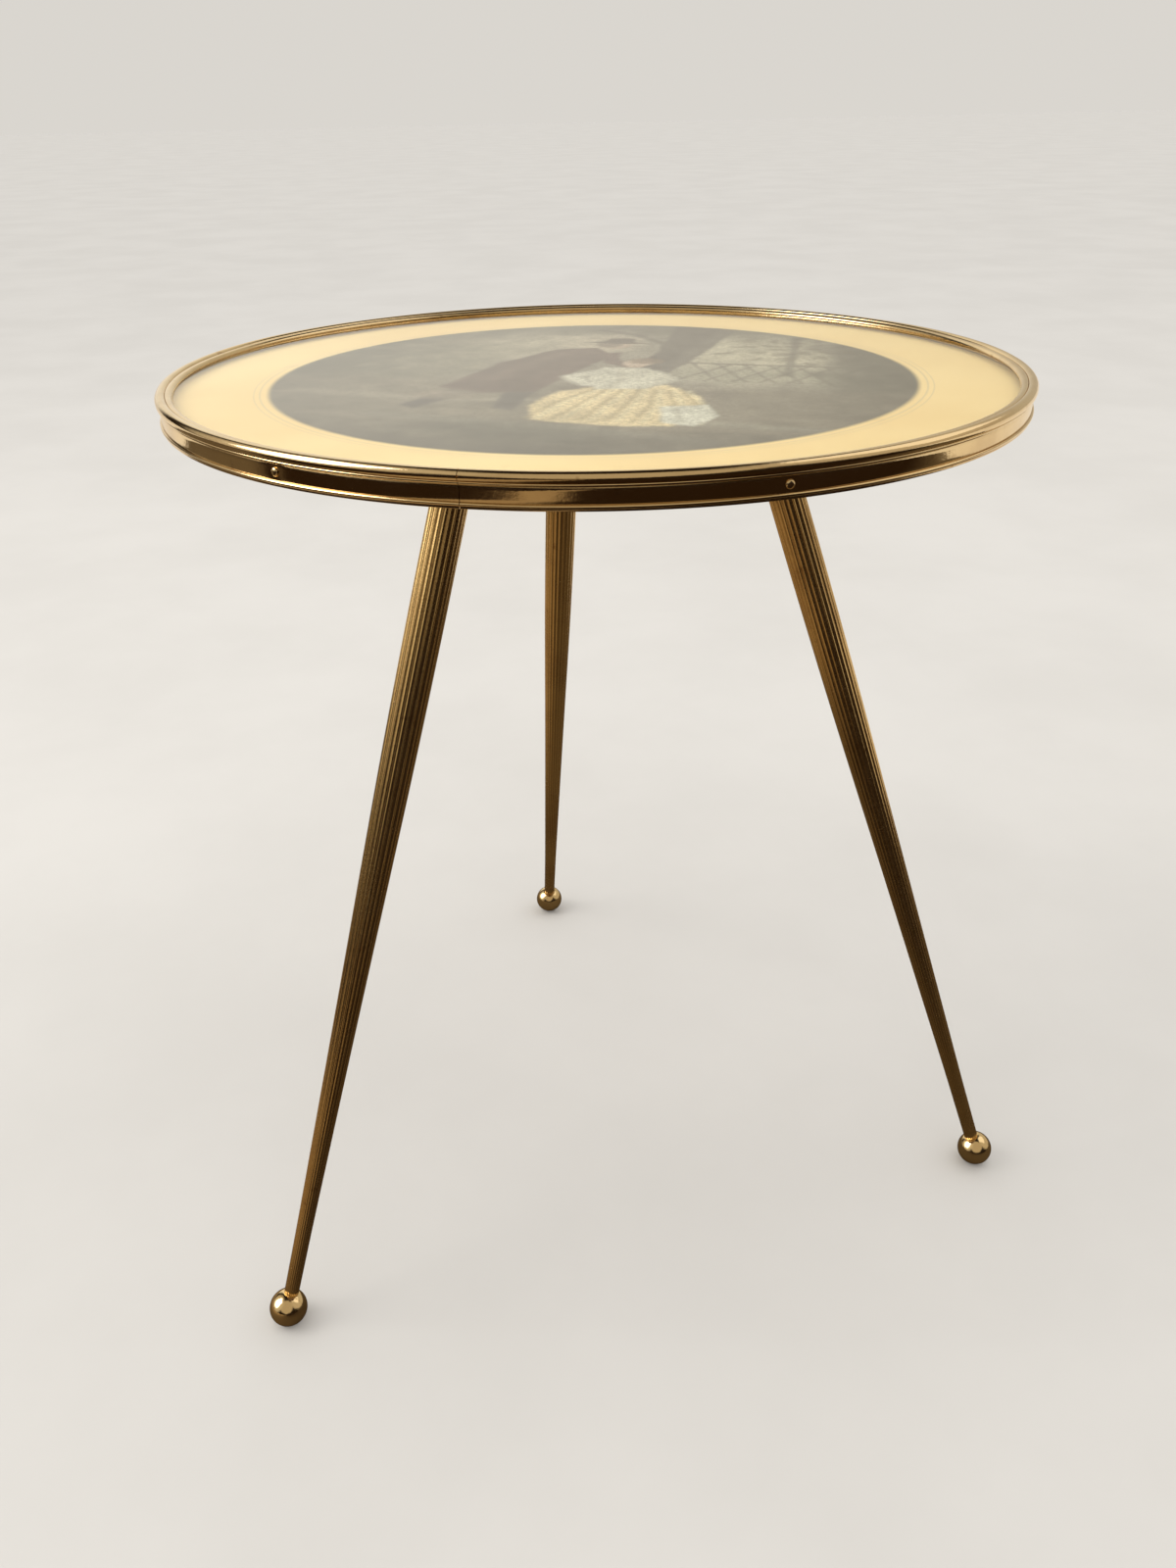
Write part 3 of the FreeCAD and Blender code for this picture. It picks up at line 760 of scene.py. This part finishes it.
def paint_ground(art):
    """Earth and grass with pale streaks of path across the front."""
    earth = layered_noise(art.x * 0.4, art.y * 1.6, 0.14, 61)
    art.lay(smooth_step(-0.02, -0.20, art.y + 0.05 * (earth - 0.5)), EARTH)
    art.lay(smooth_step(0.48, 0.75, earth) * smooth_step(-0.12, -0.3, art.y) * 0.5, DRY_EARTH)
    art.stroke([(-0.85, -0.34), (-0.35, -0.40), (0.0, -0.36)], 0.05, PATH, 0.03, 0.7)
    art.stroke([(0.35, -0.58), (0.75, -0.62)], 0.045, PATH_LIGHT, 0.03, 0.7)
    art.stroke([(-0.5, -0.62), (0.1, -0.70), (0.5, -0.80)], 0.05, PATH_DIM, 0.04, 0.7)
    art.blob((-0.05, -0.78), (0.30, 0.07), -8, SHADOW, 0.6, 0.7, 0.15)
    art.lay(smooth_step(-0.72, -0.98, art.y) * 0.5, FRONT_SHADE)


def paint_walker(art):
    """A standing walker in a long dark coat and a soft hat, bending a little forward."""
    near_leg = [(-0.36, -0.20), (-0.46, -0.50), (-0.40, -0.53), (-0.27, -0.25)]
    far_leg = [(-0.22, -0.18), (-0.18, -0.50), (-0.11, -0.52), (-0.12, -0.18)]
    back = [(-0.10, 0.50), (-0.24, 0.44), (-0.36, 0.16), (-0.43, -0.24)]
    front = [(-0.28, -0.30), (-0.12, -0.26), (-0.06, 0.10), (-0.02, 0.36)]
    arm = [(-0.06, 0.40), (-0.02, 0.22), (0.08, 0.15), (0.09, 0.20), (0.02, 0.28), (0.0, 0.42)]
    crown = [(-0.17, 0.60), (-0.11, 0.625), (-0.095, 0.69), (-0.01, 0.70)]
    brim = [(0.005, 0.63), (0.065, 0.605), (-0.05, 0.585)]
    art.shape(near_leg, NEAR_BOOT)
    art.shape(far_leg, FAR_BOOT)
    art.shape(back + front, COAT)
    art.stroke([(-0.20, 0.38), (-0.28, 0.08), (-0.33, -0.20)], 0.05, COAT_LIGHT, 0.03, 0.6)
    art.shape(arm, SLEEVE)
    art.blob((0.10, 0.175), (0.026, 0.02), 20, HAND, 0.35)
    art.blob((-0.045, 0.555), (0.052, 0.064), 8, WALKER_FACE, 0.25)
    art.blob((-0.075, 0.565), (0.045, 0.060), 8, WALKER_HAIR, 0.35, 0.9)
    art.shape(crown + brim, HAT)
    art.blob((-0.38, -0.34), (0.10, 0.06), 10, BUNDLE, 0.4, 0.75, 0.05)


def paint_sitter(art):
    """A seated walker in a white blouse and a wide straw-coloured skirt, with a cloth on the lap."""
    right_hem = [(-0.02, -0.16), (0.20, -0.10), (0.33, -0.24), (0.38, -0.52), (0.30, -0.64)]
    left_hem = [(0.12, -0.66), (-0.08, -0.62), (-0.13, -0.44), (-0.10, -0.24)]
    blouse = [(-0.05, 0.14), (0.10, 0.16), (0.16, 0.02), (0.15, -0.16), (0.00, -0.19), (-0.06, -0.04)]
    cloth = [(0.24, -0.40), (0.37, -0.36), (0.42, -0.50), (0.37, -0.62), (0.28, -0.60)]
    art.move_right(SITTER_ASIDE)
    art.shape(right_hem + left_hem, STRAW, 0.015, 1.0, 0.04)
    for k in range(7):
        paint_pleat(art, k)
    art.shape(blouse, BLOUSE)
    art.stroke([(-0.03, 0.10), (-0.12, -0.02), (-0.04, -0.12)], 0.055, LEFT_SLEEVE, 0.02, 0.95)
    art.stroke([(0.11, 0.10), (0.20, -0.02), (0.13, -0.14)], 0.055, RIGHT_SLEEVE, 0.02, 0.95)
    art.stroke([(0.02, 0.12), (0.05, -0.02), (0.04, -0.17)], 0.02, BLOUSE_FOLD, 0.015, 0.6)
    art.blob((0.045, 0.235), (0.048, 0.060), -8, SITTER_FACE, 0.25)
    art.blob((0.065, 0.275), (0.056, 0.050), -8, SITTER_HAIR, 0.35, 0.95)
    art.shape(cloth, CLOTH)
    art.stroke([(0.29, -0.42), (0.33, -0.58)], 0.014, CLOTH_FOLD, 0.01, 0.6)
    art.move_right(-SITTER_ASIDE)


def paint_pleat(art, k):
    """One fold of the skirt, counted from the left: a dark line with a light one beside it."""
    top = (0.00 + 0.045 * k, -0.18)
    foot = (-0.10 + 0.075 * k, -0.60)
    bend = ((top[0] + foot[0]) / 2 - 0.02 + 0.01 * k, -0.40)
    lit = [(top[0] + 0.018, top[1]), (bend[0] + 0.022, bend[1]), (foot[0] + 0.03, foot[1])]
    art.stroke([top, bend, foot], 0.016, STRAW_DARK, 0.012, 0.6)
    art.stroke(lit, 0.014, STRAW_LIGHT, 0.012, 0.55)


def disc_grid(radius, cells):
    """A round sheet of nearly even quads, from a square grid pushed out into a circle."""
    side = np.linspace(-1, 1, cells + 1)
    u, v = np.meshgrid(side, side, indexing="ij")
    x = radius * u * np.sqrt(1 - v * v / 2)
    y = radius * v * np.sqrt(1 - u * u / 2)
    return x.ravel(), y.ravel()


def picture_print(material):
    """The paper print, with its painted colours stored on its points."""
    low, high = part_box("picture_print")
    radius = (high.x - low.x) / 2
    x, y = disc_grid(radius, PRINT_CELLS)
    count = len(x)
    top = np.column_stack([x, y, np.full(count, high.z - PRINT_GAP)])
    faces = grid_faces(PRINT_CELLS + 1, PRINT_CELLS + 1, False)
    side = PRINT_CELLS + 1
    ring = [i * side for i in range(side)]
    ring += [PRINT_CELLS * side + j for j in range(1, side)]
    ring += [i * side + PRINT_CELLS for i in reversed(range(PRINT_CELLS))]
    ring += list(reversed(range(1, PRINT_CELLS)))
    under = np.column_stack([x[ring], y[ring], np.full(len(ring), low.z)])
    vertices = np.vstack([top, under])
    for k in range(len(ring)):
        m = (k + 1) % len(ring)
        faces.append((ring[k], ring[m], count + m, count + k))
    faces.append(tuple(count + k for k in reversed(range(len(ring)))))
    piece = mesh_piece("picture_sheet", vertices, faces, material, "top", "picture_print")
    keep_edges_sharp(piece, 40.0)
    turn = PICTURE_TURN
    px = vertices[:, 0] * math.cos(turn) + vertices[:, 1] * math.sin(turn)
    py = -vertices[:, 0] * math.sin(turn) + vertices[:, 1] * math.cos(turn)
    u = (px - OVAL_CENTRE[0]) / OVAL_X
    v = (py - OVAL_CENTRE[1]) / OVAL_Y
    set_attribute(piece, "oval", np.hypot(u, v))
    lean_x = u * math.cos(PRINT_LEAN) + v * math.sin(PRINT_LEAN)
    lean_y = -u * math.sin(PRINT_LEAN) + v * math.cos(PRINT_LEAN)
    colours = np.ones((len(vertices), 4), np.float32)
    colours[:, :3] = paint_scene(lean_x, lean_y)
    layer = piece.data.color_attributes.new("painted", "FLOAT_COLOR", "POINT")
    layer.data.foreach_set("color", colours.ravel())
    return piece


# ---------------------------------------------------------------- legs


class Leg:
    """One leg's axis, from its packed joint: the foot ball's centre and the way up the leg."""

    def __init__(self, number):
        joint = next(j for j in frame["joints"] if j["name"] == f"leg_{number}_unscrew")
        self.number = number
        self.foot = Vector(joint["pos_m"])
        self.up = -Vector(joint["axis"]).normalized()
        self.body = f"leg_{number}"
        self.turn = Vector((0, 0, 1)).rotation_difference(self.up).to_matrix()

    def place(self, vertices):
        """Points made upright on the ball's centre, leaned into this leg's place."""
        return np.asarray(vertices) @ np.array(self.turn).T + np.array(self.foot)

    def reach(self, node):
        """A CAD node's lowest and highest points along the leg's axis."""
        data = frame["nodes"][node].data
        points = np.empty(len(data.vertices) * 3)
        data.vertices.foreach_get("co", points)
        along = (points.reshape(-1, 3) - np.array(self.foot)) @ np.array(self.up)
        return along.min(), along.max()


def fluted_tube(leg, material):
    """A tapering tube with concave flutes and softened ridges, open down its middle."""
    low, high = leg.reach(f"leg_tube_{leg.number}")
    shares = np.linspace(0, 1, TUBE_STATIONS)
    taper = np.array(TUBE_TAPER)
    diameters = smooth_taper(shares, taper[:, 0], taper[:, 1] * MM)
    columns = FLUTES * FLUTE_STEPS
    phase = (np.arange(columns) % FLUTE_STEPS) / FLUTE_STEPS
    angles = 2 * math.pi * np.arange(columns) / columns
    valley = 1 - np.abs(2 * phase - 1) ** FLUTE_FLATNESS
    valley = np.where(phase == 0, RIDGE_SOFTENING, valley)
    outer = (diameters / 2)[None, :] * (1 - FLUTE_DEPTH_SHARE * valley[:, None])
    inner = np.repeat((diameters / 2 - TUBE_WALL)[None, ::-1], columns, axis=0)
    heights = high - shares * (high - low)
    radius = np.hstack([outer[:, :1] - TUBE_LIP, outer, outer[:, -1:] - TUBE_LIP, inner])
    height = np.concatenate([[high], heights, [low], heights[::-1]])
    height[1] -= TUBE_LIP
    height[TUBE_STATIONS] += TUBE_LIP
    rows = len(height)
    grid = np.empty((columns, rows, 3))
    grid[:, :, 0] = radius * np.cos(angles)[:, None]
    grid[:, :, 1] = radius * np.sin(angles)[:, None]
    grid[:, :, 2] = height
    faces = [f[::-1] for f in grid_faces(columns, rows, True, row_closed=True)]
    vertices = leg.place(grid.reshape(-1, 3))
    name = f"fluted_leg_{leg.number}"
    piece = mesh_piece(name, vertices, faces, material, leg.body, f"leg_tube_{leg.number}")
    # Patina with painted shade: darker down the flute valleys and all over the tube's inside.
    recess_patina_and_shade = np.zeros((columns, rows))
    recess_patina_and_shade[:, 1 : TUBE_STATIONS + 1] = (valley**2)[:, None] * 0.7
    recess_patina_and_shade[:, TUBE_STATIONS + 1 :] = 1.0
    set_attribute(piece, "recess_patina_and_shade", recess_patina_and_shade.ravel())
    keep_edges_sharp(piece, 60.0)
    return piece


def smooth_taper(shares, knots, values):
    """A smooth curve through the taper's diameters, by cubic pieces with shared slopes."""
    slopes = np.gradient(values, knots)
    index = np.clip(np.searchsorted(knots, shares, side="right") - 1, 0, len(knots) - 2)
    width = knots[index + 1] - knots[index]
    t = (shares - knots[index]) / width
    near = (1 + 2 * t) * (1 - t) ** 2 * values[index] + t * (1 - t) ** 2 * width * slopes[index]
    far = t * t * (3 - 2 * t) * values[index + 1] + t * t * (t - 1) * width * slopes[index + 1]
    return near + far


def foot_ball(leg, material):
    """A turned ball with a crisp flat seat for the leg and a bore for its stud."""
    seat_angle = math.degrees(math.asin(BALL_SEAT / BALL_R))
    outline = arc_points((0, 0), BALL_R, -90, seat_angle - SEAT_BREAK_TURN, 60)
    outline[0] = (0.0, -BALL_R)
    seat_edge = BALL_R * math.cos(math.radians(seat_angle)) - SEAT_BREAK
    outline += [(seat_edge, BALL_SEAT), (FOOT_STUD_R, BALL_SEAT)]
    outline += [(FOOT_STUD_R, BALL_SEAT - BALL_BORE_DEPTH), (0.0, BALL_SEAT - BALL_BORE_DEPTH)]
    vertices, faces = lathe_grid(outline, 96)
    name = f"foot_ball_turned_{leg.number}"
    vertices = leg.place(vertices)
    piece = mesh_piece(name, vertices, faces, material, leg.body, f"foot_ball_{leg.number}")
    merge_close(piece)
    keep_edges_sharp(piece, 40.0)
    return piece


def threaded_stud(leg, material):
    """The leg stud with its thread cut as one helix, run out at both ends."""
    low, high = leg.reach(f"leg_stud_{leg.number}")
    columns = STUD_SIDES
    rows = int((high - low) / THREAD_PITCH * THREAD_STEPS) + 1
    heights = np.linspace(low, high, rows)
    angles = 2 * math.pi * np.arange(columns) / columns
    turn = (heights[None, :] / THREAD_PITCH - angles[:, None] / (2 * math.pi)) % 1.0
    crest = np.clip(CREST_GAIN * (1 - np.abs(2 * turn - 1)) - CREST_CUT, 0, 1)
    from_end = np.clip(np.minimum(heights - low, high - heights) / THREAD_RUNOUT, 0, 1)
    body = STUD_R - THREAD_DEPTH * (1 - from_end * (1 - crest))
    grid = np.empty((columns, rows, 3))
    grid[:, :, 0] = body * np.cos(angles)[:, None]
    grid[:, :, 1] = body * np.sin(angles)[:, None]
    grid[:, :, 2] = heights
    faces = [f[::-1] for f in grid_faces(columns, rows, True)]
    faces.append(tuple(i * rows for i in reversed(range(columns))))
    faces.append(tuple(i * rows + rows - 1 for i in range(columns)))
    vertices = leg.place(grid.reshape(-1, 3))
    name = f"leg_stud_threaded_{leg.number}"
    piece = mesh_piece(name, vertices, faces, material, leg.body, f"leg_stud_{leg.number}")
    merge_close(piece, 1e-7)
    keep_edges_sharp(piece, 30.0)
    return piece


# ---------------------------------------------------------------- surroundings


def studio_floor():
    """A wide pale floor. Polished metal sees it darker, with a painted shadow on the near side and a painted
    sheen of window light at the left, and ending at a pale wall.
    """
    corners = [(-FLOOR_HALF, -FLOOR_HALF, 0), (FLOOR_HALF, -FLOOR_HALF, 0)]
    corners += [(FLOOR_HALF, FLOOR_HALF, 0), (-FLOOR_HALF, FLOOR_HALF, 0)]
    data = bpy.data.meshes.new("studio_floor")
    data.from_pydata(corners, [], [(0, 1, 2, 3)])
    material, nodes, place = new_material("studio_floor")
    cloud = nodes.ramp(nodes.noise(place, 3.0, 5.0, 0.6), 0.3, 0.7)
    pale = nodes.mix(cloud, *PALE_FLOORS)
    far = nodes.along(place, 0.0, 0.0)
    left = nodes.along(place, math.radians(90), 0.0)
    to_wall = nodes.along(place, WALL_AZIMUTH, 0.0)
    # Painted shadow: the floor's near side is nearly black to polished metal.
    mirrored = nodes.mix(nodes.ramp(far, -0.40, 0.10), NEAR_FLOOR_PAINTED_SHADOW, GREY_FLOOR)
    # Painted sheen: a band of window light on the floor at the left, seen by polished metal.
    lit = nodes.math("MULTIPLY", nodes.ramp(left, 0.12, 0.36), nodes.ramp(left, 0.55, 0.72, 1.0, 0.0))
    mirrored = nodes.mix(lit, mirrored, LEFT_FLOOR_PAINTED_SHEEN)
    foot = nodes.ramp(to_wall, WALL_DISTANCE - WALL_BLUR, WALL_DISTANCE + WALL_BLUR)
    mirrored = nodes.mix(foot, mirrored, WALL_FOOT)
    glossy = nodes.add("ShaderNodeLightPath").outputs["Is Glossy Ray"]
    colour = nodes.mix(glossy, pale, mirrored)
    finish_material(nodes, {"Base Color": colour, "Roughness": 0.6, "Specular IOR Level": 0.0})
    data.materials.append(material)
    floor = bpy.data.objects.new("studio_floor", data)
    bpy.context.scene.collection.objects.link(floor)


def studio_world():
    """An even pale room. Polished metal sees a bright far wall, a window, a tan ceiling and dark gaps."""
    world = bpy.data.worlds.new("studio")
    bpy.context.scene.world = world
    nodes = Nodes(world)
    direction = nodes.add("ShaderNodeTexCoord").outputs["Generated"]
    height = nodes.along(direction, 0.0, math.radians(90))
    left = nodes.along(direction, math.radians(90), 0.0)
    to_wall = nodes.along(direction, WALL_AZIMUTH, 0.0)
    to_ceiling = nodes.along(direction, math.radians(180), math.radians(45))
    to_window = nodes.along(direction, math.radians(96), math.radians(30))
    to_lamp = nodes.along(direction, math.radians(-85), math.radians(34))
    wall = nodes.math("MULTIPLY", nodes.ramp(to_wall, 0.50, 0.68), nodes.ramp(height, 0.56, 0.68, 1.0, 0.0))
    wall_colour = nodes.mix(nodes.ramp(left, -0.40, 0.40), WALL_SHADED, WALL_DAYLIT)
    room = nodes.mix(wall, DARK_ROOM, wall_colour)
    room = nodes.mix(nodes.ramp(to_ceiling, 0.74, 0.84), room, TAN_CEILING)
    room = nodes.mix(nodes.ramp(to_lamp, 0.74, 0.88), room, LAMP_GLOW)
    room = nodes.mix(nodes.ramp(to_window, 0.66, 0.88), room, WINDOW_GLOW)
    room = nodes.mix(nodes.ramp(to_window, 0.92, 0.97), room, WINDOW)
    path = nodes.add("ShaderNodeLightPath").outputs
    seen = nodes.mix(path["Is Camera Ray"], ROOM_LIGHT, BACKDROP)
    colour = nodes.mix(path["Is Glossy Ray"], seen, room)
    background = nodes.add("ShaderNodeBackground", {"Color": colour, "Strength": 1.0}).outputs[0]
    nodes.add("ShaderNodeOutputWorld", {"Surface": background})


def studio_light(name, azimuth, elevation, distance, size, power, colour):
    """A square soft light aimed at the table's middle. Azimuth is from the far side, turning left."""
    way = way_to(azimuth, elevation)
    data = bpy.data.lights.new(name, "AREA")
    data.size = size
    data.energy = power
    data.color = colour
    lamp = bpy.data.objects.new(name, data)
    lamp.location = LIGHT_TARGET + way * distance
    lamp.rotation_mode = "QUATERNION"
    lamp.rotation_quaternion = (-way).to_track_quat("-Z", "Y")
    bpy.context.scene.collection.objects.link(lamp)


def place_camera():
    """The camera on the near side, looking down at the table."""
    data = bpy.data.cameras.new("camera")
    data.sensor_width = SENSOR
    data.lens = CAMERA_LENS
    camera = bpy.data.objects.new("camera", data)
    yaw, pitch, roll = CAMERA_YAW, CAMERA_PITCH, CAMERA_ROLL
    ahead = Vector((math.sin(yaw) * math.cos(pitch), math.cos(yaw) * math.cos(pitch), -math.sin(pitch)))
    right = Vector((math.cos(yaw), -math.sin(yaw), 0))
    up = right.cross(ahead)
    right, up = right * math.cos(roll) + up * math.sin(roll), up * math.cos(roll) - right * math.sin(roll)
    axes = Matrix((right, up, -ahead)).transposed().to_4x4()
    spot = Matrix.Translation((CAMERA_ASIDE, -CAMERA_DISTANCE, CAMERA_HEIGHT))
    camera.matrix_world = Matrix.Rotation(PICTURE_TURN, 4, "Z") @ spot @ axes
    bpy.context.scene.collection.objects.link(camera)
    bpy.context.scene.camera = camera


def assign(material, *nodes):
    """Gives carried-over CAD nodes a better material."""
    for node in nodes:
        slots = frame["nodes"][node].data.materials
        slots.clear()
        slots.append(material)


place_camera()
studio_floor()
studio_world()
studio_light("key", math.radians(98), math.radians(38), 2.6, 1.4, 22.0, (1.0, 0.97, 0.92))
studio_light("fill", math.radians(-70), math.radians(45), 3.0, 2.2, 8.0, (1.0, 0.96, 0.90))
bpy.context.scene.view_settings.view_transform = "Standard"

rim_material = brass("rim_brass", (0.88, 0.70, 0.42, 1), (0.38, 0.22, 0.09, 1), 0.28, 0.06, 0.13, paint_recess_patina_and_shade=True)
leg_material = brass("leg_brass", (0.88, 0.64, 0.29, 1), (0.30, 0.15, 0.05, 1), 0.30, 0.13, 0.24, paint_recess_patina_and_shade=True)
pin_material = brass("pin_brass", (0.86, 0.69, 0.42, 1), (0.36, 0.23, 0.10, 1), 0.4, 0.08, 0.2)
ball_material = brass("ball_brass", (0.94, 0.74, 0.42, 1), (0.50, 0.32, 0.14, 1), 0.3, 0.05, 0.14, bump=0.2)
plug_material = brass("plug_brass", (0.66, 0.48, 0.24, 1), (0.35, 0.22, 0.10, 1), 0.6, 0.25, 0.45)
plate_material = steel("plate_steel", (0.20, 0.19, 0.18, 1), (0.10, 0.07, 0.05, 1), 0.35, 0.6)
zinc_material = steel("zinc_steel", (0.56, 0.56, 0.54, 1), (0.34, 0.32, 0.29, 1), 0.22, 0.45)

brass_rim(rim_material)
rim_pins(pin_material)
glass_sheet(clear_glass())
picture_print(print_paper())
assign(board_wood(), "top_board")
assign(zinc_material, "plate_screws")
for number in LEG_NUMBERS:
    leg = Leg(number)
    fluted_tube(leg, leg_material)
    foot_ball(leg, ball_material)
    threaded_stud(leg, zinc_material)
    assign(plate_material, f"leg_plate_{number}")
    assign(zinc_material, f"leg_washer_{number}", f"foot_stud_{number}")
    assign(plug_material, f"leg_top_plug_{number}", f"leg_bottom_plug_{number}")
